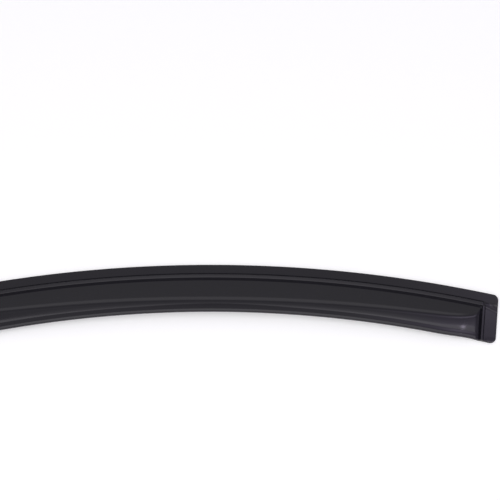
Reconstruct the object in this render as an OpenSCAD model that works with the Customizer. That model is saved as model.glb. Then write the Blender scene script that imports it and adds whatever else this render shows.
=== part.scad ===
// Window rain deflector for a car's side door: a long arched strip of dark acrylic, thermoformed
// into a flat flange, a raised bead, a hood with closed ends and a turned lip along its open edge.
// It lies face up. +X runs along the strip, +Y points to the flange's outer edge, +Z is up.

/* [Plan] */
// Length of the strip from end to end
length = 722; // [500:2:900]
// Radius of the arc that the outer edge follows
arc_r = 1600; // [1200:10:2600]
// Width of the strip, from the outer edge to the lower edge
width = 69.8; // [66:0.2:90]
// Lean of each end towards the middle, in degrees
end_lean = 6.3; // [0:0.1:10]
// Radius of the corners at the outer edge
top_corner_r = 6.5; // [4:0.5:9]
// Radius of the corners at the lower edge
low_corner_r = 8.5; // [4:0.5:12]
// How much narrower the strip is across its end flanges
end_tuck = 3.8; // [0:0.2:5]
// Length over which it widens again past each end flange
tuck_run = 60; // [20:5:90]

/* [Sheet] */
// Thickness of the acrylic
wall = 3; // [2:0.1:4]
// Radius of the polished edge all round
edge_r = 1; // [0.5:0.1:1.4]

/* [Flange] */
// Width of the flat flange along the outer edge
flange_w = 12; // [11.4:0.2:14]
// Width of the flange across each end
end_flange_w = 15.4; // [12:0.2:18]
// How far the face of an end flange falls towards the end, below the bead
end_fall = 1.3; // [0:0.1:1.4]

/* [Bead] */
// Width of the bead along the long flange
bead_w = 8.2; // [6.8:0.1:10]
// Height of the bead above the flange
bead_h = 2.4; // [1:0.1:2.8]
// Width of the bead's rise, on the side of the edge
bead_rise = 2.8; // [1.8:0.1:3.2]
// Width of the bead's fall, on the side of the hood
bead_fall = 1.8; // [1.4:0.1:2.5]
// Slope of the bead's top, down towards the hood, in degrees
bead_slope = 5; // [0:1:10]
// Softness of the bead's two bends
bead_soft = 0.2; // [0.1:0.1:0.6]
// Share of the bead's height that runs on across the end flanges
bead_tail = 0.15; // [0:0.05:0.6]
// How far that tail drifts down, away from the outer edge
tail_drop = 4; // [0:0.5:8]

/* [Bead down each end] */
// Width of the end bead
end_bead_w = 4.8; // [4.6:0.1:9]
// Height of its outer bend above the flange
end_bead_h = 2.2; // [1:0.1:2.4]
// Width of its rise, on the side of the end
end_bead_rise = 1.4; // [0.8:0.1:1.8]
// Width of its fall, on the side of the hood
end_bead_fall = 1; // [0.8:0.1:2]
// Slope of its top, down towards the end, in degrees
end_bead_slope = 6; // [0:1:10]

/* [Hood] */
// How far below the flange the hood starts, in the groove at the bead's foot
foot_drop = 0.2; // [0:0.1:0.5]
// Height of the crest above the flange in the middle of the strip
hood_h = 14.6; // [12:0.2:16]
// Fall of the crest from the middle to the ends, along an even arch
arch_fall = 5.7; // [0:0.1:6.4]
// Further fall of the crest in a short shoulder at each end
shoulder_fall = 5; // [0:0.2:5.6]
// Length over which most of the shoulder fades
shoulder_run = 16; // [10:1:40]
// Slope of the face between the bead and the crest, in degrees
face_slope = 23.7; // [22:0.1:28]
// Slope that the roof behind the crest reaches at the crease, in degrees
roof_slope = 9; // [2:0.5:12]
// Softness of the bend at the crest
crest_soft = 2.2; // [1:0.1:3]

/* [Ledge and lip] */
// Width of the ledge between the crease and the lip, near the ends
ledge_w = 4.8; // [3:0.2:6]
// How much wider the ledge is in the middle of the strip
ledge_widening = 2.8; // [0:0.2:3.6]
// Distance from an end up to which the ledge keeps its plain width
ledge_plain = 240; // [100:10:300]
// Slope of the ledge, which rises a little towards the lip, in degrees
ledge_slope = 2; // [0:0.5:4]
// Width of the turned lip
lip_w = 2.6; // [2:0.2:5]
// Slope of the lip, in degrees
lip_slope = 31; // [20:0.5:36]
// Softness of the bend where the lip turns down
lip_soft = 0.6; // [0.3:0.1:1.5]

/* [Closed ends] */
// Slope of the wall that closes each end of the hood, in degrees
end_slope = 43; // [35:1:60]
// Softness of the bend at the top of the end walls
end_soft = 1.2; // [0.5:0.1:2]

/* [Fixing tape] */
// Thickness of the foam tape
tape_t = 1.1; // [0.8:0.1:1.6]
// Width of the foam tape
tape_w = 9; // [6:0.5:10]
// Distance from the flange's edges to the tape
tape_inset = 1.2; // [0.8:0.1:1.6]
// Gap between the long tape and each end tape
tape_gap = 1; // [0.5:0.5:3]
// Distance from the strip's end to the end of the long tape
tape_end = 8; // [6:0.5:12]
// Thickness of the release liner under the tape
liner_t = 0.2; // [0.2:0.05:0.4]

/* [Hidden] */

// Level of the flange's back, where the tape sticks
back_z = liner_t + tape_t;
// Where the hood's skin starts, from the outer edge and from an end
foot_u = flange_w + bead_w;
foot_e = end_flange_w + end_bead_w;
// Where the lip starts, from the outer edge
lip_u = width - lip_w;
// Least distance from the crest to the crease
min_roof = 2;

// Number of stations in the plain middle, on each side of it
MID_STEPS = 14;
// Number of even steps across the hood, from the bead to the widest ledge, and across that ledge
HOOD_STEPS = 12;
LEDGE_STEPS = 6;
// Share of the shoulder's fall that is left where an end wall meets the crest
WALL_TOP_SHARE = 0.7;
// Facets of a full turn of the tape's arc
ARC_FN = 720;

// Soft minimum of two heights: a sharp bend rounded off by soft
function low(a, b, soft) = (a + b - sqrt(pow(a - b, 2) + soft * soft)) / 2;
// Step from 0 to 1 with level ends
function smooth(t) = let (c = min(1, max(0, t))) c * c * (3 - 2 * c);
// Drop of a quarter round of radius r at distance d from its edge
function round_off(d, r) = d >= r ? 0 : r - sqrt(r * r - pow(r - d, 2));

// A point of the sheet is given by u, its distance from the outer edge where the strip has its full
// width, and by e, its distance from the nearer end. Across the ends the strip is tucked in.
function tuck(e) = end_tuck * (1 - smooth((e - end_flange_w) / tuck_run));
function tucked(u, e) = u - tuck(e) * smooth((u - foot_u) / (lip_u - foot_u));

// Height of the crest above the flange, along the arch and with the short shoulder at the end
function to_middle(e) = min(1, max(0, e - foot_e) / (length / 2 - foot_e));
function crest_h(e) = hood_h - arch_fall * pow(1 - to_middle(e), 2)
    - shoulder_fall * exp(-max(0, e - foot_e) / shoulder_run);
function crest_at(e) = foot_u + (crest_h(e) + foot_drop) / tan(face_slope);
// Width of the ledge, and where the crease lies at which the roof meets it
function ledge(e) = ledge_w + ledge_widening * smooth((e - ledge_plain) / (length / 2 - ledge_plain));
function crease_at(e) = max(lip_u - ledge(e), crest_at(e) + min_roof);
// Height at the crease: the roof falls along a parabola that is level at the crest
function trough(e) = crest_h(e) - tan(roof_slope) / 2 * (crease_at(e) - crest_at(e));

// Four forms of the hood: straight face, bent roof with the ledge behind it, straight lip, end wall
function face_line(u, e) = (tucked(u, e) - foot_u) * tan(face_slope) - foot_drop;
function roof_line(u, e) = let (share = (u - crest_at(e)) / (crease_at(e) - crest_at(e)))
    crest_h(e) - (crest_h(e) - trough(e)) * pow(min(1, max(0, share)), 2)
    + max(0, u - crease_at(e)) * tan(ledge_slope);
function lip_line(u, e) =
    trough(e) + (lip_u - crease_at(e)) * tan(ledge_slope) - (u - lip_u) * tan(lip_slope);
function end_line(e) = (e - foot_e) * tan(end_slope) - foot_drop;
// Rise of the hood: the lowest of the four, with the bends between them rounded
function hood(u, e) = let (
    soft = crest_soft * crest_h(e) / hood_h,
    across = low(low(face_line(u, e), roof_line(u, e), soft), lip_line(u, e), lip_soft))
    low(across, end_line(e), end_soft);

// The two beads: [width, height, width of the rise, width of the fall, slope of the top inwards]
LONG_BEAD = [bead_w, bead_h, bead_rise, bead_fall, bead_slope];
END_BEAD = [end_bead_w, end_bead_h, end_bead_rise, end_bead_fall, -end_bead_slope];
// Bead at distance d from the start of its band: steep rise, top that slopes a little, steep fall
// that ends below the flange
function bead_profile(d, form) = let (
    rise = form[1] * d / form[2],
    top = form[1] - (d - form[2]) * tan(form[4]),
    fall = (form[1] + foot_drop) * (form[0] - d) / form[3] - foot_drop)
    low(low(rise, top, bead_soft), fall, bead_soft);
// The bead runs along the flange, faintly on over the end flanges, and turns down each end
function bead(u, e) = let (
    in_end = smooth((e - end_flange_w) / end_bead_w),
    drift = tail_drop * (1 - smooth(e / foot_e)),
    along = bead_profile(u - drift - flange_w, LONG_BEAD) * (bead_tail + (1 - bead_tail) * in_end),
    down = bead_profile(e - end_flange_w, END_BEAD) * smooth((u - flange_w) / bead_w))
    max(along, down);
// Height of the formed sheet: the bead, with the hood inside its top and the flange outside it
function formed(u, e) = let (
    inside = u > flange_w + bead_w / 2 && e > end_flange_w + end_bead_w / 2)
    max(bead(u, e), inside ? hood(u, e) : 0);

// Fall of the end flange's face towards the end, below the bead
function end_flange_fall(u, e) =
    end_fall * max(0, 1 - e / end_flange_w) * smooth((u - flange_w) / bead_w);

// Height of the outer skin and of the inner skin
function edge_drop(u, e) = round_off(min(u, e, width - u), edge_r);
function skin_top(u, e) =
    back_z + wall + formed(u, e) - end_flange_fall(u, e) - edge_drop(u, e);
function skin_back(u, e) = back_z + max(0, hood(u, e - wall / 2));

// Steps round the polished edge and over a bead, which lie close together at its bends
EDGE_STEPS = [for (k = [0:3]) edge_r * (1 - cos(30 * k))];
function bead_steps(form) =
    [0, form[2] * 0.9, form[2] * 1.1, form[0] - form[3], form[0] - form[3] * 0.8, form[0]];

// Rows run along the strip, at these distances from the outer edge
ledge_from = lip_u - ledge_w - ledge_widening;
rows = concat(
    EDGE_STEPS,
    [top_corner_r / 2, top_corner_r],
    [for (d = bead_steps(LONG_BEAD)) flange_w + d],
    [for (k = [1:HOOD_STEPS]) foot_u + (ledge_from - foot_u) * k / HOOD_STEPS],
    [for (k = [1:LEDGE_STEPS]) ledge_from + (lip_u - ledge_from) * k / LEDGE_STEPS],
    [(lip_u + width - edge_r) / 2],
    [for (k = [3:-1:0]) width - EDGE_STEPS[k]]);

// Stations run across the strip, at these distances from an end, where the forms turn the corner
end_wall_run = (hood_h - arch_fall - shoulder_fall * WALL_TOP_SHARE) / tan(end_slope);
shoulder_e = foot_e + 1.7 * end_wall_run;
end_stations = concat(
    EDGE_STEPS,
    [end_flange_w * 0.3, end_flange_w * 0.65],
    [for (d = bead_steps(END_BEAD)) end_flange_w + d],
    [for (s = [0.25, 0.5, 0.75, 1, 1.25]) foot_e + end_wall_run * s],
    [for (s = [0, 0.35, 0.75, 1.25, 1.9, 2.8, 4]) shoulder_e + shoulder_run * s]);
last_e = end_stations[len(end_stations) - 1];

// Distance of a row's end from the middle, before its corner is rounded
function row_end(u) = length / 2 - u * tan(end_lean);
// How far the rounded corners take a row's end back
function corner_inset(u) = round_off(u, top_corner_r) + round_off(width - u, low_corner_r);
// The corner's rounding fades out over this distance
corner_fade = 2 * max(top_corner_r, low_corner_r);

// Distance from the end, and place along X, of station k on a row; stations past the end forms
// are spread evenly to the middle
half_count = len(end_stations) + MID_STEPS;
function from_end(k, u) = k < len(end_stations) ? end_stations[k]
    : last_e + (row_end(u) - last_e) * (k - len(end_stations) + 1) / MID_STEPS;
function station_x(k, u) = let (e = from_end(k, u))
    row_end(u) - e - corner_inset(u) * (1 - smooth(e / corner_fade));

// Point of the plan on a row's arc, before the strip is centred
function arc_y(x, u) = sqrt(pow(arc_r - u, 2) - x * x);
// The strip is centred between its outer edge's top and its lowest corner
low_point = min([for (k = [0:len(end_stations) - 1]) for (u = rows)
    arc_y(station_x(k, u), tucked(u, end_stations[k]))]);
y_mid = (arc_r + low_point) / 2;

// All stations from the left end to the right end: [side, index]
stations = concat(
    [for (k = [0:half_count - 1]) [-1, k]],
    [for (k = [half_count - 2:-1:0]) [1, k]]);

function skin_point(st, u, top) = let (
    e = from_end(st[1], u),
    x = st[0] * station_x(st[1], u))
    [x, arc_y(x, tucked(u, e)) - y_mid, top ? skin_top(u, e) : skin_back(u, e)];

// Two triangles for a four-sided patch, split the mirrored way on the right half
function patch(a, b, c, d, right) = right ? [[a, b, d], [b, c, d]] : [[a, b, c], [a, c, d]];

module deflector_shell() {
    n = len(stations);
    m = len(rows);
    points = [for (top = [true, false]) for (st = stations) for (u = rows) skin_point(st, u, top)];
    // Number of the point at station i and row j, on the outer (0) or the inner (1) skin
    function id(i, j, side) = (side * n + i) * m + j;
    skins = [for (i = [0:n - 2]) for (j = [0:m - 2]) let (right = i >= (n - 1) / 2) each concat(
        patch(id(i, j, 0), id(i + 1, j, 0), id(i + 1, j + 1, 0), id(i, j + 1, 0), right),
        patch(id(i + 1, j, 1), id(i, j, 1), id(i, j + 1, 1), id(i + 1, j + 1, 1), !right))];
    long_edges = [for (i = [0:n - 2]) each concat(
        patch(id(i, 0, 0), id(i, 0, 1), id(i + 1, 0, 1), id(i + 1, 0, 0), false),
        patch(id(i, m - 1, 0), id(i + 1, m - 1, 0), id(i + 1, m - 1, 1), id(i, m - 1, 1), false))];
    short_edges = [for (j = [0:m - 2]) each concat(
        patch(id(0, j, 0), id(0, j + 1, 0), id(0, j + 1, 1), id(0, j, 1), false),
        patch(id(n - 1, j, 0), id(n - 1, j, 1), id(n - 1, j + 1, 1), id(n - 1, j + 1, 0), false))];
    color([0.18, 0.18, 0.20])
    polyhedron(points = points, faces = concat(skins, long_edges, short_edges));
}

// Strip under the long flange, bent to the strip's arc
module long_strip(z, t) {
    reach = length / 2 - tape_end;
    half_angle = asin(reach / (arc_r - tape_inset));
    translate([0, -y_mid, z])
    rotate(90 - half_angle)
    rotate_extrude(angle = 2 * half_angle, $fn = ARC_FN)
    translate([arc_r - tape_inset - tape_w, 0])
    square([tape_w, t]);
}

// Straight strip under one end flange; side is -1 for the left end and 1 for the right
module end_strip(side, z, t) {
    u_top = tape_inset + tape_w + tape_gap;
    u_low = width - end_tuck - low_corner_r;
    e_out = tape_inset + edge_r;
    corners = [for (p = [[u_top, e_out], [u_low, e_out], [u_low, e_out + tape_w], [u_top, e_out + tape_w]])
        let (x = row_end(p[0]) - p[1]) [side * x, arc_y(x, p[0]) - y_mid]];
    translate([0, 0, z])
    linear_extrude(t)
    polygon(corners);
}

module top_tape() {
    color([0.10, 0.10, 0.11])
    long_strip(liner_t, tape_t);
}

module end_tape(side) {
    color([0.10, 0.10, 0.11])
    end_strip(side, liner_t, tape_t);
}

module top_liner() {
    color([0.72, 0.10, 0.08])
    long_strip(0, liner_t);
}

module end_liner(side) {
    color([0.72, 0.10, 0.08])
    end_strip(side, 0, liner_t);
}

deflector_shell();
top_tape();
end_tape(-1);  // left_end_tape
end_tape(1);  // right_end_tape
top_liner();
end_liner(-1);  // left_end_liner
end_liner(1);  // right_end_liner
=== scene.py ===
"""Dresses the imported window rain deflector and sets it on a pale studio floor.

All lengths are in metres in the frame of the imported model: +X runs along the strip, +Y points to the
outer edge of its long flange, +Z is up, and the release liners lie on Z = 0. A point of the strip is
given by two distances: u, from the outer edge inwards, and e, from the nearer end.
"""

import logging
import math
from collections.abc import Callable
from dataclasses import dataclass, field
from enum import Enum
from functools import partial
from typing import Union

import bpy
import numpy as np
from mathutils import Matrix, Vector


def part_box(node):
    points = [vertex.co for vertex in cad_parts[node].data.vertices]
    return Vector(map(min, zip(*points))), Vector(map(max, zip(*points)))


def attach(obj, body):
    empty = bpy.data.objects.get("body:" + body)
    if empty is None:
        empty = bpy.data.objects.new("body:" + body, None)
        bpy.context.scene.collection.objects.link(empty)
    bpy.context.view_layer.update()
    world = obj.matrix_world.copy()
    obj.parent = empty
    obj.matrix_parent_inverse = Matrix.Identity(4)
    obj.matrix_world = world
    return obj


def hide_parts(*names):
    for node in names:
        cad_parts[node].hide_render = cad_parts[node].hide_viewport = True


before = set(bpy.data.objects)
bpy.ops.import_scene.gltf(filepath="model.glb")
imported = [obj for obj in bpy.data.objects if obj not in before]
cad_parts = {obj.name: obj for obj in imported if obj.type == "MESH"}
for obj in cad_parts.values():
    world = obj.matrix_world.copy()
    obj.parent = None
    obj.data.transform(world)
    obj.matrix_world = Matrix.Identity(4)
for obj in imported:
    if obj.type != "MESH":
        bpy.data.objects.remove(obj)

LOG = logging.getLogger("deflector")
BODY = "root"
MM = 0.001
# Two places that lie nearer than this are one
SAME_PLACE = 0.0001 * MM

Number = Union[int, float]
Colour = tuple[float, float, float]
Range = tuple[float, float]
Point = tuple[float, float, float]
Places = tuple[np.ndarray, np.ndarray]
PlanOf = Callable[[np.ndarray, np.ndarray], Places]
WHITE = (1.0, 1.0, 1.0)


class Slot(Enum):
    """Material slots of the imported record."""

    ACRYLIC = "smoked_acrylic"
    FOAM = "foam_tape"
    LINER = "liner_film"


class End(Enum):
    """The two ends of the strip, with the side of the middle that each lies on."""

    LEFT = -1
    RIGHT = 1


# Plain functions of the strip's forms, on whole arrays


def soft_low(a: np.ndarray, b: np.ndarray, soft: float) -> np.ndarray:
    """Lower of two heights with the bend between them rounded off.

    Formula: half of (a + b - the root of ((a - b) squared + soft squared)).

    Args:
        a: First height.
        b: Second height.
        soft: Softness of the bend.

    Returns:
        The rounded minimum.
    """
    return (a + b - np.sqrt((a - b) ** 2 + soft * soft)) / 2


def smooth_step(t: np.ndarray) -> np.ndarray:
    """Step from 0 to 1 with level ends: t squared times (3 - 2 t), with t kept between 0 and 1.

    Args:
        t: Position, 0 at the start of the step and 1 at its end.

    Returns:
        The step's height.
    """
    c = np.clip(t, 0.0, 1.0)
    return c * c * (3 - 2 * c)


def round_off(d: np.ndarray, r: float) -> np.ndarray:
    """Drop of a quarter round: r less the root of (r squared - (r - d) squared), and 0 past r.

    Args:
        d: Distance from the edge.
        r: Radius of the round.

    Returns:
        The drop below the face.
    """
    inside = np.clip(r - d, 0.0, r)
    return r - np.sqrt(r * r - inside * inside)


def knots(*spans: tuple[float, float, int]) -> np.ndarray:
    """Even steps over several spans that follow each other.

    Args:
        *spans: Start, end and number of steps of each span.

    Returns:
        The positions, sorted, each given once.
    """
    parts = [np.linspace(a, b, n + 1) for a, b, n in spans]
    values = np.sort(np.concatenate(parts))
    return values[np.concatenate([[True], np.diff(values) > SAME_PLACE])]


def sheet_quads(n: int, m: int, offset: int = 0, flip: bool = False) -> np.ndarray:
    """Four-sided faces of an n by m sheet of points, numbered row by row.

    Args:
        n: Number of rows of points.
        m: Number of points in a row.
        offset: Number of the sheet's first point.
        flip: True to turn the faces over.

    Returns:
        An array of four point numbers for each face.
    """
    i, j = np.meshgrid(np.arange(n - 1), np.arange(m - 1), indexing="ij")
    a = (i * m + j + offset).ravel()
    quads = np.stack([a, a + m, a + m + 1, a + 1], axis=1)
    return quads[:, ::-1] if flip else quads


def band_quads(first: np.ndarray, second: np.ndarray) -> np.ndarray:
    """Faces of the band between two lines of points with the same number of points.

    Args:
        first: Point numbers along the first line.
        second: Point numbers along the second line.

    Returns:
        An array of four point numbers for each face.
    """
    return np.stack([first[:-1], second[:-1], second[1:], first[1:]], axis=1)


def build_mesh(name: str, points: np.ndarray, faces: list, uv: np.ndarray | None = None,
               bends: np.ndarray | None = None) -> bpy.types.Object:
    """Makes a smooth-shaded mesh object at the origin.

    Args:
        name: Name of the piece.
        points: Points in the frame, in metres.
        faces: Faces as rows of point numbers.
        uv: Place of each point on the unrolled strip, in metres, if a finish follows the surface.
        bends: Sum of one power of two for each sharp bend that a point lies on; an edge whose points
            share a bend stays crisp.

    Returns:
        The new object, linked to the scene.
    """
    mesh = bpy.data.meshes.new(name)
    mesh.from_pydata(points.tolist(), [], faces)
    if uv is not None:
        layer = mesh.uv_layers.new(name="strip")
        corner = np.empty(len(mesh.loops), dtype=np.int32)
        mesh.loops.foreach_get("vertex_index", corner)
        layer.data.foreach_set("uv", uv[corner].astype(np.float32).ravel())
    mesh.polygons.foreach_set("use_smooth", np.ones(len(mesh.polygons), dtype=bool))
    if bends is not None:
        pairs = np.empty(len(mesh.edges) * 2, dtype=np.int32)
        mesh.edges.foreach_get("vertices", pairs)
        both = bends[pairs.reshape(-1, 2)]
        crisp = (both[:, 0] & both[:, 1]) > 0
        mesh.edges.foreach_set("use_edge_sharp", crisp)
    mesh.update()
    piece = bpy.data.objects.new(name, mesh)
    bpy.context.scene.collection.objects.link(piece)
    return piece


# Shader maths as expressions


@dataclass(frozen=True)
class Grain:
    """Fineness of a noise: waves for each metre, number of finer layers and scale along the strip."""

    scale: float
    detail: float
    along: float = 1.0


class Sock:
    """A shader socket that can be added, subtracted, multiplied and so on."""

    def __init__(self, graph: "Graph", socket: bpy.types.NodeSocket) -> None:
        """Wraps an output socket.

        Args:
            graph: The material's graph, which adds the Math nodes.
            socket: The output socket.
        """
        self.graph = graph
        self.socket = socket

    def __add__(self, other: "Sock | Number") -> "Sock":
        """Sum of two values."""
        return self.graph.math("ADD", self, other)

    def __sub__(self, other: "Sock | Number") -> "Sock":
        """Difference of two values."""
        return self.graph.math("SUBTRACT", self, other)

    def __rsub__(self, other: Number) -> "Sock":
        """Difference of a number and this value."""
        return self.graph.math("SUBTRACT", other, self)

    def __mul__(self, other: "Sock | Number") -> "Sock":
        """Product of two values."""
        return self.graph.math("MULTIPLY", self, other)

    def most(self, other: "Sock | Number") -> "Sock":
        """Higher of two values."""
        return self.graph.math("MAXIMUM", self, other)

    __radd__ = __add__
    __rmul__ = __mul__


class Graph:
    """Node tree of one material or world, with short calls for its nodes."""

    def __init__(self, tree: bpy.types.NodeTree) -> None:
        """Empties the tree.

        Args:
            tree: The node tree to fill.
        """
        self.tree = tree
        tree.nodes.clear()

    def node(self, kind: str, settings: dict | None = None,
             inputs: dict | None = None) -> bpy.types.Node:
        """Adds one node, sets it up and then fills its sockets.

        Args:
            kind: Blender's name of the node type.
            settings: Properties of the node, set first.
            inputs: Values or links of its input sockets, by name or number.

        Returns:
            The new node.
        """
        made = self.tree.nodes.new(kind)
        for key, value in (settings or {}).items():
            setattr(made, key, value)
        for key, value in (inputs or {}).items():
            if isinstance(value, Sock):
                self.tree.links.new(value.socket, made.inputs[key])
            else:
                made.inputs[key].default_value = value
        return made

    def out(self, kind: str, settings: dict | None = None, inputs: dict | None = None,
            output: str | int = 0) -> Sock:
        """Adds one node and gives one of its outputs.

        Args:
            kind: Blender's name of the node type.
            settings: Properties of the node.
            inputs: Values or links of its input sockets.
            output: Name or number of the output.

        Returns:
            The output as a value for expressions.
        """
        return Sock(self, self.node(kind, settings, inputs).outputs[output])

    def math(self, operation: str, a: "Sock | Number", b: "Sock | Number") -> Sock:
        """One Math node.

        Args:
            operation: The node's operation.
            a: First value.
            b: Second value.

        Returns:
            The result.
        """
        return self.out("ShaderNodeMath", {"operation": operation}, {0: a, 1: b})

    def remap(self, value: Sock, low: float, high: float, to_low: float, to_high: float) -> Sock:
        """Stretches a value from one range to another and keeps it inside.

        Args:
            value: The value.
            low: Start of its range.
            high: End of its range.
            to_low: Result at the start.
            to_high: Result at the end.

        Returns:
            The stretched value.
        """
        return self.out("ShaderNodeMapRange", {"clamp": True}, {
            "Value": value,
            "From Min": low,
            "From Max": high,
            "To Min": to_low,
            "To Max": to_high,
        })

    def rise(self, value: Sock, over: Range, start: float = 0.0, end: float = 1.0) -> Sock:
        """Goes from one level to another while the value crosses a range.

        Args:
            value: The value.
            over: The range.
            start: Level before it.
            end: Level past it.

        Returns:
            The level.
        """
        return self.remap(value, *over, start, end)

    def fall(self, value: Sock, over: Range) -> Sock:
        """Falls from 1 to 0 while the value crosses a range."""
        return self.remap(value, *over, 1.0, 0.0)

    def band(self, value: Sock, opens: Range, closes: Range) -> Sock:
        """Rises from 0 to 1 over one range and falls back to 0 over a later one."""
        return self.rise(value, opens) * self.fall(value, closes)

    def blend(self, share: Sock, a: Colour, b: Colour) -> Sock:
        """Mixes two colours.

        Args:
            share: Share of the second colour.
            a: First colour.
            b: Second colour.

        Returns:
            The mixed colour.
        """
        colours = {0: share, 6: (*a, 1.0), 7: (*b, 1.0)}
        return self.out("ShaderNodeMix", {"data_type": "RGBA"}, colours, output=2)

    def noise(self, place: Sock, grain: "Grain") -> Sock:
        """Soft noise between 0 and 1.

        Args:
            place: Coordinates.
            grain: How fine it is and how far it is drawn out.

        Returns:
            The noise.
        """
        if grain.along != 1.0:
            stretch = (grain.along, 1.0, 1.0)
            place = self.out("ShaderNodeMapping", None, {"Vector": place, "Scale": stretch})
        inputs = {"Vector": place, "Scale": grain.scale, "Detail": grain.detail}
        return self.out("ShaderNodeTexNoise", None, inputs)

    def bump(self, height: Sock, distance: float, under: Sock | None = None) -> Sock:
        """Bump from a height between 0 and 1.

        Args:
            height: The height.
            distance: Depth of the bump in metres.
            under: Normal of a coarser bump, if there is one.

        Returns:
            The bumped normal.
        """
        inputs = {"Strength": 1.0, "Distance": distance, "Height": height}
        if under is not None:
            inputs["Normal"] = under
        return self.out("ShaderNodeBump", None, inputs)

    def surface(self, shader: Sock) -> None:
        """Connects the finished shader to the material's output."""
        self.node("ShaderNodeOutputMaterial", None, {"Surface": shader})


def new_graph(name: str) -> tuple[bpy.types.Material, Graph]:
    """Makes an empty node material.

    Args:
        name: Name of the material.

    Returns:
        The material and its graph.
    """
    material = bpy.data.materials.new(name)
    material.use_nodes = True
    return material, Graph(material.node_tree)


@dataclass(frozen=True)
class SmokedAcrylic:
    """Polished dark smoke acrylic: soft thermoforming waves, hair-fine rubs and a little haze."""

    deep: Colour = (0.0072, 0.0067, 0.0100)
    pale: Colour = (0.0104, 0.0096, 0.0140)
    sheen: tuple[float, float, float, float] = (0.98, 0.95, 1.0, 1.0)
    ior: float = 1.49
    gloss: float = 0.10
    haze: float = 0.06
    clouds: Grain = Grain(14.0, 4.0)
    waves: Grain = Grain(30.0, 1.5, along=0.25)
    rubs: Grain = Grain(900.0, 2.0, along=0.03)
    breath: Grain = Grain(60.0, 5.0)
    breath_range: Range = (0.35, 0.75)
    wave_depth: float = 0.04 * MM
    rub_depth: float = 0.002 * MM

    def material(self) -> bpy.types.Material:
        """Builds the finish.

        Returns:
            The material.
        """
        made, g = new_graph("smoked_acrylic")
        place = g.out("ShaderNodeTexCoord", output="Object")
        along = g.out("ShaderNodeUVMap", {"uv_map": "strip"})
        cloud = g.noise(place, self.clouds)
        breath = g.rise(g.noise(place, self.breath), self.breath_range)
        waved = g.bump(g.noise(along, self.waves), self.wave_depth)
        shader = g.out("ShaderNodeBsdfPrincipled", None, {
            "Base Color": g.blend(cloud, self.deep, self.pale),
            "Roughness": self.gloss + self.haze * breath * cloud,
            "IOR": self.ior,
            "Specular Tint": self.sheen,
            "Normal": g.bump(g.noise(along, self.rubs), self.rub_depth, waved),
        })
        g.surface(shader)
        return made


@dataclass(frozen=True)
class FoamTape:
    """Dark closed-cell foam: matte, with fine cells and faint mottling."""

    dark: Colour = (0.020, 0.020, 0.022)
    light: Colour = (0.040, 0.040, 0.043)
    mottling: Grain = Grain(260.0, 4.0)
    mottle_range: Range = (0.3, 0.7)
    roughness: Range = (0.82, 0.95)
    cell_size: float = 0.45 * MM
    cell_depth: float = 0.08 * MM

    def material(self) -> bpy.types.Material:
        """Builds the finish.

        Returns:
            The material.
        """
        made, g = new_graph("foam_tape")
        place = g.out("ShaderNodeTexCoord", output="Object")
        cell = {"Vector": place, "Scale": 1.0 / self.cell_size}
        cells = g.out("ShaderNodeTexVoronoi", None, cell, output="Distance")
        mottle = g.noise(place, self.mottling)
        shader = g.out("ShaderNodeBsdfPrincipled", None, {
            "Base Color": g.blend(mottle, self.dark, self.light),
            "Roughness": g.rise(mottle, self.mottle_range, *self.roughness),
            "Normal": g.bump(cells, self.cell_depth),
        })
        g.surface(shader)
        return made


@dataclass(frozen=True)
class LinerFilm:
    """Red release film: satin, slightly rippled."""

    deep: Colour = (0.50, 0.022, 0.016)
    bright: Colour = (0.62, 0.038, 0.028)
    tones: Grain = Grain(35.0, 3.0)
    tone_range: Range = (0.3, 0.7)
    roughness: Range = (0.30, 0.42)
    ripples: Grain = Grain(120.0, 2.0)
    ripple_depth: float = 0.1 * MM

    def material(self) -> bpy.types.Material:
        """Builds the finish.

        Returns:
            The material.
        """
        made, g = new_graph("liner_film")
        place = g.out("ShaderNodeTexCoord", output="Object")
        tone = g.noise(place, self.tones)
        shader = g.out("ShaderNodeBsdfPrincipled", None, {
            "Base Color": g.blend(tone, self.deep, self.bright),
            "Roughness": g.rise(tone, self.tone_range, *self.roughness),
            "Normal": g.bump(g.noise(place, self.ripples), self.ripple_depth),
        })
        g.surface(shader)
        return made


@dataclass(frozen=True)
class StudioFloor:
    """White table: takes the object's shadow, and shows as plain white to the camera and in gloss."""

    tone: float = 0.80
    glow: float = 0.33

    def material(self) -> bpy.types.Material:
        """Builds the finish: a matte white, with a glow that only camera and glossy rays see.

        Returns:
            The material.
        """
        made, g = new_graph("studio_floor")
        path = g.node("ShaderNodeLightPath")
        rays = ("Is Camera Ray", "Is Glossy Ray", "Is Transmission Ray")
        camera, glossy, through = (Sock(g, path.outputs[ray]) for ray in rays)
        seen = camera.most(glossy).most(through)
        grey = (self.tone, self.tone, self.tone, 1.0)
        matte = g.out("ShaderNodeBsdfDiffuse", None, {"Color": grey})
        glow = g.out("ShaderNodeEmission", None, {"Strength": seen * self.glow})
        g.surface(g.out("ShaderNodeAddShader", None, {0: matte, 1: glow}))
        return made


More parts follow.
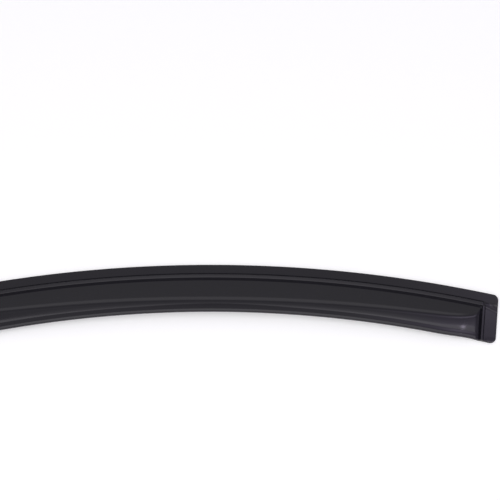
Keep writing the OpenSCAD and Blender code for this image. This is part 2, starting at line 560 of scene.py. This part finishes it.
@dataclass(frozen=True)
class StripPlan:
    """Outline of the strip from above: concentric arcs between leaning ends, tucked in at the ends."""

    length: float = 722 * MM
    arc_r: float = 1600 * MM
    width: float = 69.8 * MM
    end_lean: float = math.radians(6.3)
    top_corner_r: float = 6.5 * MM
    low_corner_r: float = 8.5 * MM
    end_tuck: float = 3.8 * MM
    tuck_run: float = 60 * MM
    # Place along Y of the highest point of the outer edge, from the frame
    top_y: float = field(default_factory=lambda: float(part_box("deflector_shell")[1].y))

    def centre_y(self) -> float:
        """Place along Y of the arcs' common centre."""
        return self.top_y - self.arc_r

    def row_end(self, u: np.ndarray) -> np.ndarray:
        """Distance of a row's end from the middle, before its corner is rounded."""
        return self.length / 2 - u * math.tan(self.end_lean)

    def corner_inset(self, u: np.ndarray) -> np.ndarray:
        """How far the rounded corners take a row's end back."""
        return round_off(u, self.top_corner_r) + round_off(self.width - u, self.low_corner_r)

    def right_x(self, e: np.ndarray, u: np.ndarray) -> np.ndarray:
        """Place along X of a point on the right half.

        Formula: the row's end less e, less the corner's inset, which fades out over twice the
        corner's radius.

        Args:
            e: Distance from the right end.
            u: Distance from the outer edge.

        Returns:
            Place along X.
        """
        fade = 2 * max(self.top_corner_r, self.low_corner_r)
        return self.row_end(u) - e - self.corner_inset(u) * (1 - smooth_step(e / fade))

    def arc_y(self, x: np.ndarray, u: np.ndarray) -> np.ndarray:
        """Place along Y of a point on a row's arc: the root of ((arc radius - u) squared - x squared)."""
        return np.sqrt((self.arc_r - u) ** 2 - x * x) + self.centre_y()


@dataclass(frozen=True)
class Bead:
    """Ridge across a band: rise, nearly level top, steep fall to below the flange."""

    width: float
    height: float
    rise_run: float
    fall_run: float
    top_slope: float = math.tan(math.radians(5))
    soft: float = 0.15 * MM

    def height_at(self, d: np.ndarray, foot_drop: float) -> np.ndarray:
        """Height of the ridge.

        Formula: the lowest of the three slopes, with narrow rounds between them.

        Args:
            d: Distance from the start of the band.
            foot_drop: How far below the flange the fall ends.

        Returns:
            Height above the flange, below 0 outside the band.
        """
        rise = self.height * d / self.rise_run
        top = self.height - self.top_slope * (d - self.rise_run)
        fall = (self.height + foot_drop) * (self.width - d) / self.fall_run - foot_drop
        return soft_low(soft_low(rise, top, self.soft), fall, self.soft)


@dataclass(frozen=True)
class Sampling:
    """Number of steps over each stretch of the sheet, and the length of stretches that no form sets."""

    edge: int = 8
    flange: int = 7
    bead: int = 56
    hood: int = 44
    low: int = 26
    low_run: float = 8 * MM
    end_flange: int = 9
    end_bead: int = 40
    wall: int = 24
    wall_run: float = 10 * MM
    shoulder: int = 14
    shoulder_run: float = 40 * MM
    easing: int = 10
    easing_run: float = 100 * MM
    middle: int = 32


@dataclass(frozen=True)
class StripSection:
    """Heights of the sheet's outer and inner skin, as functions of u and e."""

    back_z: float = 1.3 * MM
    wall: float = 3 * MM
    edge_r: float = 1 * MM
    back_edge_r: float = 0.4 * MM
    flange_w: float = 12 * MM
    end_flange_w: float = 15.4 * MM
    end_fall: float = 1.3 * MM
    long_bead: Bead = Bead(8.2 * MM, 2.4 * MM, 2.8 * MM, 1.8 * MM)
    end_bead: Bead = Bead(4.8 * MM, 2.2 * MM, 1.4 * MM, 1.0 * MM, top_slope=math.tan(math.radians(-6)))
    bead_tail: float = 0.15
    tail_drop: float = 4 * MM
    foot_drop: float = 0.2 * MM
    hood_h: float = 14.6 * MM
    arch_fall: float = 5.7 * MM
    shoulder_fall: float = 5 * MM
    shoulder_run: float = 16 * MM
    face_slope: float = math.tan(math.radians(23.7))
    roof_slope: float = math.tan(math.radians(9))
    crest_soft: float = 2.2 * MM
    ledge_w: float = 5.6 * MM
    ledge_widening: float = 2.0 * MM
    ledge_plain: float = 240 * MM
    ledge_slope: float = math.tan(math.radians(2))
    lip_w: float = 2.6 * MM
    lip_slope: float = math.tan(math.radians(31))
    lip_soft: float = 0.6 * MM
    end_slope: float = math.tan(math.radians(43))
    end_soft: float = 1.2 * MM
    plan: StripPlan = field(default_factory=StripPlan)
    steps: Sampling = Sampling()

    def foot_u(self) -> float:
        """Distance from the outer edge at which the hood starts."""
        return self.flange_w + self.long_bead.width

    def foot_e(self) -> float:
        """Distance from an end at which the hood starts."""
        return self.end_flange_w + self.end_bead.width

    def lip_u(self) -> float:
        """Distance from the outer edge at which the lip starts."""
        return self.plan.width - self.lip_w

    def ledge(self, e: np.ndarray) -> np.ndarray:
        """Width of the ledge between roof and lip.

        Formula: the plain width near the ends, plus a widening that comes in smoothly towards the
        middle.

        Args:
            e: Distance from the end.

        Returns:
            Width across the strip.
        """
        share = smooth_step((e - self.ledge_plain) / (self.plan.length / 2 - self.ledge_plain))
        return self.ledge_w + self.ledge_widening * share

    def tucked(self, u: np.ndarray, e: np.ndarray) -> np.ndarray:
        """Distance from the outer edge, drawn in across the ends.

        Formula: u less the tuck, which fades out along the strip past the end flange, and towards the
        bead.

        Args:
            u: Distance from the outer edge where the strip has its full width.
            e: Distance from the end.

        Returns:
            True distance from the outer edge.
        """
        along = 1 - smooth_step((e - self.end_flange_w) / self.plan.tuck_run)
        across = smooth_step((u - self.foot_u()) / (self.lip_u() - self.foot_u()))
        return u - self.plan.end_tuck * along * across

    def crest_h(self, e: np.ndarray) -> np.ndarray:
        """Height of the crest.

        Formula: the height in the middle, less a parabola's fall to the ends, less a short shoulder's
        fall at the end walls, which fades as an exponential does.

        Args:
            e: Distance from the end.

        Returns:
            Height above the flange.
        """
        past = np.maximum(0, e - self.foot_e())
        to_middle = np.minimum(1, past / (self.plan.length / 2 - self.foot_e()))
        arch = self.arch_fall * (1 - to_middle) ** 2
        shoulder = self.shoulder_fall * np.exp(-past / self.shoulder_run)
        return self.hood_h - arch - shoulder

    def hood(self, u: np.ndarray, e: np.ndarray) -> np.ndarray:
        """Rise of the hood.

        Formula: the lowest of four forms, with the bends between them rounded. They are a straight
        face, a roof that bends down as a parabola and ends in a faintly rising ledge, a straight lip and
        an end wall. The face and the end wall start a little below the flange.

        Args:
            u: Distance from the outer edge.
            e: Distance from the end.

        Returns:
            Height above the flange.
        """
        crest = self.crest_h(e)
        crest_at = self.foot_u() + (crest + self.foot_drop) / self.face_slope
        ledge = self.ledge(e)
        crease_at = self.lip_u() - ledge
        run = crease_at - crest_at
        trough = crest - self.roof_slope / 2 * run
        face = (self.tucked(u, e) - self.foot_u()) * self.face_slope - self.foot_drop
        roof = crest - (crest - trough) * np.clip((u - crest_at) / run, 0, 1) ** 2
        roof = roof + self.ledge_slope * np.maximum(0, u - crease_at)
        lip = trough + self.ledge_slope * ledge - self.lip_slope * (u - self.lip_u())
        wall = (e - self.foot_e()) * self.end_slope - self.foot_drop
        soft = self.crest_soft * crest / self.hood_h
        across = soft_low(soft_low(face, roof, soft), lip, self.lip_soft)
        return soft_low(across, wall, self.end_soft)

    def below_bead(self, u: np.ndarray) -> np.ndarray:
        """Step from 0 on the long flange to 1 below the long bead."""
        return smooth_step((u - self.flange_w) / self.long_bead.width)

    def bead(self, u: np.ndarray, e: np.ndarray) -> np.ndarray:
        """Bead along the flange, faint and drifting down across the end flanges, and down each end.

        Args:
            u: Distance from the outer edge.
            e: Distance from the end.

        Returns:
            Height above the flange.
        """
        in_end = smooth_step((e - self.end_flange_w) / self.end_bead.width)
        drift = self.tail_drop * (1 - smooth_step(e / self.foot_e()))
        share = self.bead_tail + (1 - self.bead_tail) * in_end
        along = self.long_bead.height_at(u - drift - self.flange_w, self.foot_drop) * share
        down = self.end_bead.height_at(e - self.end_flange_w, self.foot_drop) * self.below_bead(u)
        return np.maximum(along, down)

    def formed(self, u: np.ndarray, e: np.ndarray) -> np.ndarray:
        """Height of the formed sheet: the bead, with the hood inside it and the flange outside.

        Args:
            u: Distance from the outer edge.
            e: Distance from the end.

        Returns:
            Height above the flange.
        """
        below = u > self.flange_w + self.long_bead.width / 2
        between = e > self.end_flange_w + self.end_bead.width / 2
        hood = np.where(below & between, self.hood(u, e), 0.0)
        return np.maximum(self.bead(u, e), hood)

    def end_flange_fall(self, u: np.ndarray, e: np.ndarray) -> np.ndarray:
        """Fall of the end flange's face towards the end, below the bead."""
        return self.end_fall * np.maximum(0, 1 - e / self.end_flange_w) * self.below_bead(u)

    def to_border(self, u: np.ndarray, e: np.ndarray) -> np.ndarray:
        """Distance from the nearest edge of the sheet."""
        return np.minimum(np.minimum(u, e), self.plan.width - u)

    def outer_skin(self, u: np.ndarray, e: np.ndarray) -> np.ndarray:
        """Height of the outer skin.

        Formula: flange level, plus hood and bead, less the end flange's fall and the edge's quarter
        round.

        Args:
            u: Distance from the outer edge.
            e: Distance from the end.

        Returns:
            Place along Z.
        """
        level = self.back_z + self.wall + self.formed(u, e)
        return level - self.end_flange_fall(u, e) - round_off(self.to_border(u, e), self.edge_r)

    def inner_skin(self, u: np.ndarray, e: np.ndarray) -> np.ndarray:
        """Height of the inner skin.

        Formula: back level, plus the hood half a wall further in, plus a small quarter round at the
        edge.

        Args:
            u: Distance from the outer edge.
            e: Distance from the end.

        Returns:
            Place along Z.
        """
        hollow = self.back_z + np.maximum(0, self.hood(u, e - self.wall / 2))
        return hollow + round_off(self.to_border(u, e), self.back_edge_r)

    def edge_turn(self) -> np.ndarray:
        """Distances from an edge at which its quarter round is sampled, at even angles."""
        angles = np.linspace(0, math.pi / 2, self.steps.edge + 1)[:-1]
        return self.edge_r * (1 - np.cos(angles))

    def rows(self) -> np.ndarray:
        """Works out the rows at which the sheet is sampled, close together where it bends.

        Returns:
            Distances from the outer edge.
        """
        width, turn, steps = self.plan.width, self.edge_turn(), self.steps
        low = self.lip_u() - steps.low_run
        spans = knots(
            (self.edge_r, self.flange_w, steps.flange),
            (self.flange_w, self.foot_u(), steps.bead),
            (self.foot_u(), low, steps.hood),
            (low, width - self.edge_r, steps.low))
        return np.concatenate([turn, spans, (width - turn)[::-1]])

    def stations(self) -> np.ndarray:
        """Works out the stations at which the sheet is sampled, up to where the plain middle starts.

        Returns:
            Distances from the end.
        """
        foot, steps = self.foot_e(), self.steps
        spans = knots(
            (self.edge_r, self.end_flange_w, steps.end_flange),
            (self.end_flange_w, foot, steps.end_bead),
            (foot, foot + steps.wall_run, steps.wall),
            (foot + steps.wall_run, foot + steps.shoulder_run, steps.shoulder),
            (foot + steps.shoulder_run, foot + steps.easing_run, steps.easing))
        return np.concatenate([self.edge_turn(), spans])


@dataclass
class DeflectorShell:
    """The one-piece acrylic strip: flange, bead, hood, closed ends, crease and lip."""

    section: StripSection = field(default_factory=StripSection)
    finish: SmokedAcrylic = field(default_factory=SmokedAcrylic)
    # How near to a bend's line a point counts as on it
    near: float = 0.001 * MM

    def grid(self) -> tuple[np.ndarray, np.ndarray, np.ndarray]:
        """Works out where the sheet is sampled.

        Stations past the end forms are spread evenly to the middle of each row, and the left half
        mirrors the right.

        Returns:
            Arrays of X, of distance from the nearer end and of u, each with a row for every station.
        """
        plan, middle = self.section.plan, self.section.steps.middle
        u = self.section.rows()[None, :]
        ends = self.section.stations()
        near = np.broadcast_to(ends[:, None], (len(ends), u.shape[1]))
        share = np.arange(1, middle + 1)[:, None] / middle
        far = ends[-1] + (plan.row_end(u) - ends[-1]) * share
        e_half = np.concatenate([near, far])
        x_half = plan.right_x(e_half, u)
        e = np.concatenate([e_half, e_half[-2::-1]])
        x = np.concatenate([-x_half, x_half[-2::-1]])
        return x, e, np.broadcast_to(u, x.shape)

    def build(self) -> bpy.types.Object:
        """Builds the sheet as an outer and an inner skin joined all round.

        Returns:
            The piece.
        """
        x, e, u = self.grid()
        y = self.section.plan.arc_y(x, self.section.tucked(u, e))
        outer = np.stack([x, y, self.section.outer_skin(u, e)], axis=-1)
        inner = np.stack([x, y, self.section.inner_skin(u, e)], axis=-1)
        n, m = x.shape
        number = np.arange(n * m).reshape(n, m)
        below = number + n * m
        faces = np.concatenate([
            sheet_quads(n, m, flip=True),
            sheet_quads(n, m, offset=n * m),
            band_quads(number[:, 0], below[:, 0])[:, ::-1],
            band_quads(number[:, -1], below[:, -1]),
            band_quads(number[0, :], below[0, :]),
            band_quads(number[-1, :], below[-1, :])[:, ::-1],
        ])
        points = np.concatenate([outer.reshape(-1, 3), inner.reshape(-1, 3)])
        unrolled = np.stack([x, u], axis=-1).reshape(-1, 2)
        bends = np.concatenate([self.bends(u, e).ravel(), np.zeros(n * m, dtype=np.int32)])
        both = np.concatenate([unrolled, unrolled])
        return build_mesh("shell_sheet", points, faces.tolist(), both, bends)

    def bends(self, u: np.ndarray, e: np.ndarray) -> np.ndarray:
        """Finds the points on the outer skin's sharp bends, the feet of the beads.

        Args:
            u: Distances from the outer edge.
            e: Distances from the nearer end.

        Returns:
            For each point, a sum of one power of two for each bend that it lies on.
        """
        section = self.section
        feet = (
            (u, section.flange_w),
            (u, section.foot_u()),
            (e, section.end_flange_w),
            (e, section.foot_e()))
        on_foot = [np.abs(where - at) < self.near for where, at in feet]
        return sum(hit.astype(np.int32) << power for power, hit in enumerate(on_foot))

    def dress(self) -> bpy.types.Object:
        """Builds the sheet, gives it its finish and puts it in the place of its solid.

        Returns:
            The piece.
        """
        piece = self.build()
        piece.data.materials.append(self.finish.material())
        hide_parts("deflector_shell")
        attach(piece, BODY)
        return piece


@dataclass
class TapeSet:
    """Foam tape and release film on the back of the flange: one long strip and one down each end."""

    section: StripSection = field(default_factory=StripSection)
    tape_t: float = 1.1 * MM
    tape_w: float = 9 * MM
    inset: float = 1.2 * MM
    gap: float = 1 * MM
    long_end: float = 8 * MM
    liner_t: float = 0.2 * MM
    foam_pinch: float = 0.12 * MM
    long_steps: int = 240
    end_steps: int = 20
    side_steps: int = 6
    foam: FoamTape = field(default_factory=FoamTape)
    film: LinerFilm = field(default_factory=LinerFilm)

    def long_plan(self, s: np.ndarray, t: np.ndarray) -> Places:
        """Plan of the long strip: an arc, with s along it and t across it, both from 0 to 1.

        Args:
            s: Share of the way along.
            t: Share of the way across, from the outer side.

        Returns:
            Places along X and Y.
        """
        plan = self.section.plan
        outer_r = plan.arc_r - self.inset
        half = math.asin((plan.length / 2 - self.long_end) / outer_r)
        angle = half * (2 * s - 1)
        r = outer_r - self.tape_w * t
        return r * np.sin(angle), r * np.cos(angle) + plan.centre_y()

    def end_plan(self, end: End, s: np.ndarray, t: np.ndarray) -> Places:
        """Plan of an end strip: the straight-sided patch between its four corners.

        Args:
            end: Which end.
            s: Share of the way from the outer edge to the lower edge.
            t: Share of the way across, from the end inwards.

        Returns:
            Places along X and Y.
        """
        plan = self.section.plan
        u_top = self.inset + self.tape_w + self.gap
        u_low = plan.width - plan.end_tuck - plan.low_corner_r
        e_out = self.inset + self.section.edge_r
        places = []
        for e in (e_out, e_out + self.tape_w):
            for u in (u_top, u_low):
                x = float(plan.row_end(u)) - e
                places.append((end.value * x, float(plan.arc_y(x, u))))
        a, b, c, d = (np.array(p)[:, None, None] for p in places)
        x, y = (1 - t) * ((1 - s) * a + s * b) + t * ((1 - s) * c + s * d)
        return x, y

    def profile(self, low: float, thick: float, pinch: float) -> Places:
        """Closed profile across a strip, its sides pulled in at mid height as cut foam is.

        Formula: up one side and down the other, each side moved in by the pinch times (1 - h squared),
        with h the height from -1 to 1.

        Args:
            low: Level of the underside.
            thick: Thickness.
            pinch: How far the sides are pulled in.

        Returns:
            Share across and height of each point, round the profile.
        """
        h = np.linspace(-1, 1, self.side_steps + 1)
        side = pinch / self.tape_w * (1 - h * h)
        t = np.concatenate([side, 1 - side[::-1]])
        z = low + thick * (np.concatenate([h, h[::-1]]) + 1) / 2
        return t, z

    def strip(self, name: str, plan_of: PlanOf, length: float, layer: tuple[float, float, float],
              steps: int) -> bpy.types.Object:
        """Carries a profile along a strip and closes its ends.

        Args:
            name: Name of the piece.
            plan_of: Function of s and t that gives the strip's plan.
            length: Length of the strip, for its surface coordinates.
            layer: Level, thickness and pinch of the strip.
            steps: Steps along the strip.

        Returns:
            The piece.
        """
        t, z = self.profile(*layer)
        s = np.linspace(0, 1, steps + 1)[:, None]
        x, y = plan_of(s, t[None, :])
        x, y, height = np.broadcast_arrays(x, y, z[None, :])
        points = np.stack([x, y, height], axis=-1).reshape(-1, 3)
        n, m = x.shape
        number = np.arange(n * m).reshape(n, m)
        wrapped = np.concatenate([number, number[:, :1]], axis=1)
        here, further = wrapped[:-1], wrapped[1:]
        quads = np.stack([here[:, :-1], further[:, :-1], further[:, 1:], here[:, 1:]], axis=-1)
        faces = quads.reshape(-1, 4).tolist() + [number[0].tolist(), number[-1][::-1].tolist()]
        along, across = np.broadcast_arrays(s * length, t[None, :] * self.tape_w)
        unrolled = np.stack([along, across], axis=-1).reshape(-1, 2)
        piece = build_mesh(name, points, faces, unrolled)
        flat = np.zeros(len(piece.data.polygons), dtype=bool)
        piece.data.polygons.foreach_set("use_smooth", flat)
        return self.turned_out(piece)

    def turned_out(self, piece: bpy.types.Object) -> bpy.types.Object:
        """Turns all faces of a closed piece outwards, by the sign of its volume.

        Args:
            piece: The closed piece.

        Returns:
            The same piece.
        """
        mesh = piece.data
        mesh.calc_loop_triangles()
        co = np.empty(len(mesh.vertices) * 3)
        mesh.vertices.foreach_get("co", co)
        tri = np.empty(len(mesh.loop_triangles) * 3, dtype=np.int32)
        mesh.loop_triangles.foreach_get("vertices", tri)
        p = co.reshape(-1, 3)[tri.reshape(-1, 3)]
        volume = np.einsum("ij,ij->i", p[:, 0], np.cross(p[:, 1], p[:, 2])).sum()
        if volume < 0:
            mesh.flip_normals()
        return piece

    def dress(self) -> list[bpy.types.Object]:
        """Builds every tape and film, gives each its finish and puts it in the place of its solid.

        Returns:
            The pieces.
        """
        plan = self.section.plan
        foam, film = self.foam.material(), self.film.material()
        layers = (
            ("tape", Slot.FOAM, foam, (self.liner_t, self.tape_t, self.foam_pinch)),
            ("liner", Slot.LINER, film, (0.0, self.liner_t, 0.0)))
        strips = (
            ("top", self.long_plan, plan.length, self.long_steps),
            ("left_end", partial(self.end_plan, End.LEFT), plan.width, self.end_steps),
            ("right_end", partial(self.end_plan, End.RIGHT), plan.width, self.end_steps))
        made = []
        for layer_name, slot, material, layer in layers:
            for strip_name, plan_of, length, steps in strips:
                piece = self.strip(f"{strip_name}_{layer_name}_strip", plan_of, length, layer, steps)
                piece.data.materials.append(material)
                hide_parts(f"{strip_name}_{layer_name}")
                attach(piece, BODY)
                made.append(piece)
        return made


@dataclass(frozen=True)
class RoomLight:
    """Light that the room throws on the strip, as a level for every direction.

    A direction has x, y and z from -1 to 1, along the frame's axes. Seen by the camera, the flange
    mirrors directions with y near 0.40, the top of the long bead 0.24 and the roof 0.10, and x grows
    from the left end to the right one. Each range is where a light comes in or fades out.
    """

    fill: float = 0.46
    # Dark part of the room: almost level in front of the table, and low down behind it
    dark: float = 0.06
    dark_front: Range = (-0.98, -0.90)
    dark_back: Range = (0.50, 0.80)
    dark_back_top: Range = (0.24, 0.33)
    # Far to the right the light is a share of what it is elsewhere
    far_right: Range = (0.60, 0.85)
    far_right_share: float = 0.40
    # Low light from in front
    front_fill: float = 0.70
    front_fades: Range = (-0.80, -0.70)
    # Side light for the flange: it grows in two stages towards the right end
    side_left: float = 0.05
    side_fill: float = 0.36
    side_more: float = 0.74
    side_first: Range = (0.10, 0.16)
    side_second: Range = (0.20, 0.28)
    side_low: Range = (0.325, 0.365)
    side_top: Range = (0.43, 0.49)
    side_end: Range = (0.7, 0.9)
    # Top light for the bead, roof and ledge: none at the far left, dimmer right of the middle
    top_fill: float = 0.68
    top_fades: Range = (0.12, 0.33)
    top_low: Range = (0.07, 0.11)
    top_left: Range = (-0.18, -0.06)
    top_gain: float = 1.25
    top_dims: Range = (0.05, 0.12)
    top_dimmed: float = 0.48
    top_returns: Range = (0.13, 0.17)
    top_returned: float = 0.15
    # Dip in the fill, between what the flange and the hood's face mirror
    dip_depth: float = 0.10
    dip_start: Range = (0.45, 0.49)
    dip_end: Range = (0.54, 0.60)
    # Small bright patch that shows as a glint by the right end
    glint_level: float = 5.4
    glint_left: Range = (0.31, 0.33)
    glint_right: Range = (0.36, 0.38)
    glint_low: Range = (0.05, 0.08)
    glint_top: Range = (0.10, 0.13)
    # Violet tint of the light towards the right end, below the directions that the hood's face mirrors
    violet: Colour = (1.0, 0.93, 1.13)
    violet_right: Range = (0.12, 0.18)
    violet_top: Range = (0.50, 0.60)

    def side(self, g: Graph, x: Sock, y: Sock) -> Sock:
        """Side light: its two stages along x, inside its window of y and x.

        Args:
            g: The world's graph.
            x: The direction along X.
            y: The direction along Y.

        Returns:
            The side light's level.
        """
        first = g.rise(x, self.side_first, self.side_left, self.side_fill)
        both = first + g.rise(x, self.side_second, 0.0, self.side_more)
        return both * g.band(y, self.side_low, self.side_top) * g.fall(x, self.side_end)

    def above(self, g: Graph, x: Sock, y: Sock) -> Sock:
        """Top light: its fade along y, times its gain and its dimming along x.

        Args:
            g: The world's graph.
            x: The direction along X.
            y: The direction along Y.

        Returns:
            The top light's level.
        """
        fade = g.rise(y, self.top_fades, self.top_fill, 0.0) * g.rise(y, self.top_low)
        gain = g.rise(x, self.top_left, 0.0, self.top_gain)
        dimming = g.rise(x, self.top_dims, 1.0, self.top_dimmed)
        return fade * gain * (dimming + g.rise(x, self.top_returns, 0.0, self.top_returned))

    def glint(self, g: Graph, x: Sock, y: Sock) -> Sock:
        """Small bright patch, inside its window of x and y."""
        across = g.band(x, self.glint_left, self.glint_right) * self.glint_level
        return across * g.band(y, self.glint_low, self.glint_top)

    def level(self, g: Graph, x: Sock, y: Sock, z: Sock) -> Sock:
        """Level of the light in a direction.

        Formula: the higher of the side and the top light, plus the glint, the low front light and the
        fill, less the dip; all of it dimmed far to the right and shut out of the dark part of the room.

        Args:
            g: The world's graph.
            x: The direction along X.
            y: The direction along Y.
            z: The direction along Z.

        Returns:
            The level.
        """
        behind = g.rise(y, self.dark_back) * g.fall(z, self.dark_back_top)
        dimmed = g.rise(x, self.far_right, 1.0, self.far_right_share)
        low_front = g.rise(y, self.front_fades, self.front_fill, 0.0)
        dip = g.band(y, self.dip_start, self.dip_end) * self.dip_depth
        lights = self.side(g, x, y).most(self.above(g, x, y)) + self.glint(g, x, y) + low_front
        shown = g.rise(y, self.dark_front) * (1.0 - behind) * dimmed
        return shown * (lights + (self.fill - self.dark) - dip) + self.dark

    def colour(self, g: Graph, x: Sock, y: Sock, camera: Sock) -> Sock:
        """White, tinted towards the right end, and untinted where the camera sees the room itself."""
        share = g.rise(x, self.violet_right) * g.fall(y, self.violet_top) * (1.0 - camera)
        return g.blend(share, WHITE, self.violet)


@dataclass(frozen=True)
class SoftLight:
    """Rectangular light: where it hangs, the point that it faces, its two sizes and its power in watts."""

    name: str
    place: Point
    aim: Point
    size: tuple[float, float]
    power: float

    def hang(self) -> bpy.types.Object:
        """Hangs the light.

        Returns:
            The light.
        """
        data = bpy.data.lights.new(self.name, "AREA")
        data.shape = "RECTANGLE"
        data.size, data.size_y = self.size
        data.energy = self.power
        light = bpy.data.objects.new(self.name, data)
        light.location = self.place
        away = Vector(self.place) - Vector(self.aim)
        light.rotation_euler = away.to_track_quat("Z", "Y").to_euler()
        bpy.context.scene.collection.objects.link(light)
        return light


@dataclass
class Studio:
    """Pale table, the room's light, two soft lights and the camera."""

    floor_size: float = 8.0
    floor_drop: float = 0.05 * MM
    room: RoomLight = RoomLight()
    overhead: SoftLight = SoftLight(
        "overhead_soft", (0.0, -0.843, 1.9), (0.0, -0.843, 0.0), (3.8, 2.118), 27.1)
    back_light: SoftLight = SoftLight(
        "back_soft", (0.0, 1.9, 1.5), (0.0, 0.0, 0.0), (2.0, 0.8), 2.25)
    camera_elevation: float = math.radians(66)
    camera_distance: float = 2.0
    camera_roll: float = math.radians(0.27)
    # The camera aims right of the middle and past the top of the outer edge
    aim_right: float = 42.3 * MM
    aim_past_edge: float = 22.7 * MM
    px_size: float = 1.3 * MM
    sensor: float = 36.0
    photo_px: int = 500
    finish: StudioFloor = field(default_factory=StudioFloor)

    def lay_floor(self) -> bpy.types.Object:
        """Lays the white table just under the part.

        Returns:
            The floor.
        """
        half = self.floor_size / 2
        corners = np.array([(-half, -half), (half, -half), (half, half), (-half, half)])
        points = np.column_stack([corners, np.full(4, -self.floor_drop)])
        floor = build_mesh("studio_table", points, [[0, 1, 2, 3]])
        floor.data.materials.append(self.finish.material())
        return floor

    def light(self) -> None:
        """Fills the room with its light and hangs the soft lights.

        The camera sees the room itself as plain white, and everything else is lit by its levels.
        """
        world = bpy.data.worlds.new("studio_fill")
        bpy.context.scene.world = world
        world.use_nodes = True
        g = Graph(world.node_tree)
        direction = g.out("ShaderNodeTexCoord", output="Generated")
        parts = g.node("ShaderNodeSeparateXYZ", None, {0: direction})
        x, y, z = (Sock(g, parts.outputs[k]) for k in range(3))
        camera = Sock(g, g.node("ShaderNodeLightPath").outputs["Is Camera Ray"])
        levels = {0: camera, 2: self.room.level(g, x, y, z), 3: 1.0}
        backdrop = g.out("ShaderNodeBackground", None, {
            "Color": self.room.colour(g, x, y, camera),
            "Strength": g.out("ShaderNodeMix", {"data_type": "FLOAT"}, levels),
        })
        g.node("ShaderNodeOutputWorld", None, {"Surface": backdrop})
        self.overhead.hang()
        self.back_light.hang()

    def place_camera(self) -> bpy.types.Object:
        """Places the camera at the photograph's angle and framing.

        The lens follows from the distance and from the real size of one picture element at the target.

        Returns:
            The camera.
        """
        scene = bpy.context.scene
        data = bpy.data.cameras.new("studio_camera")
        data.sensor_width = self.sensor
        data.lens = self.sensor * self.camera_distance / (self.px_size * self.photo_px)
        camera = bpy.data.objects.new("studio_camera", data)
        elevation = self.camera_elevation
        back = Vector((0.0, -math.cos(elevation), math.sin(elevation)))
        target = Vector((self.aim_right, StripPlan().top_y + self.aim_past_edge, 0.0))
        place = target + back * self.camera_distance
        turn = Matrix.Rotation(math.pi / 2 - elevation, 4, "X") @ Matrix.Rotation(self.camera_roll, 4, "Z")
        camera.matrix_world = Matrix.Translation(place) @ turn
        scene.collection.objects.link(camera)
        scene.camera = camera
        return camera

    def set_up(self) -> None:
        """Lays the floor, lights it and places the camera, at plain colour settings."""
        bpy.context.scene.view_settings.view_transform = "Standard"
        self.lay_floor()
        self.light()
        self.place_camera()


def corners(box: tuple) -> list[list[float]]:
    """Lowest and highest corner of a box as plain numbers."""
    return [[float(v) for v in corner] for corner in box]


def main() -> None:
    """Builds the studio and every piece."""
    logging.basicConfig(level=logging.INFO, format="%(name)s: %(message)s")
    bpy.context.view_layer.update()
    Studio().set_up()
    pieces = [DeflectorShell().dress(), *TapeSet().dress()]
    for piece in pieces:
        LOG.info("%s: %d faces", piece.name, len(piece.data.polygons))


if __name__ == "__main__":
    main()
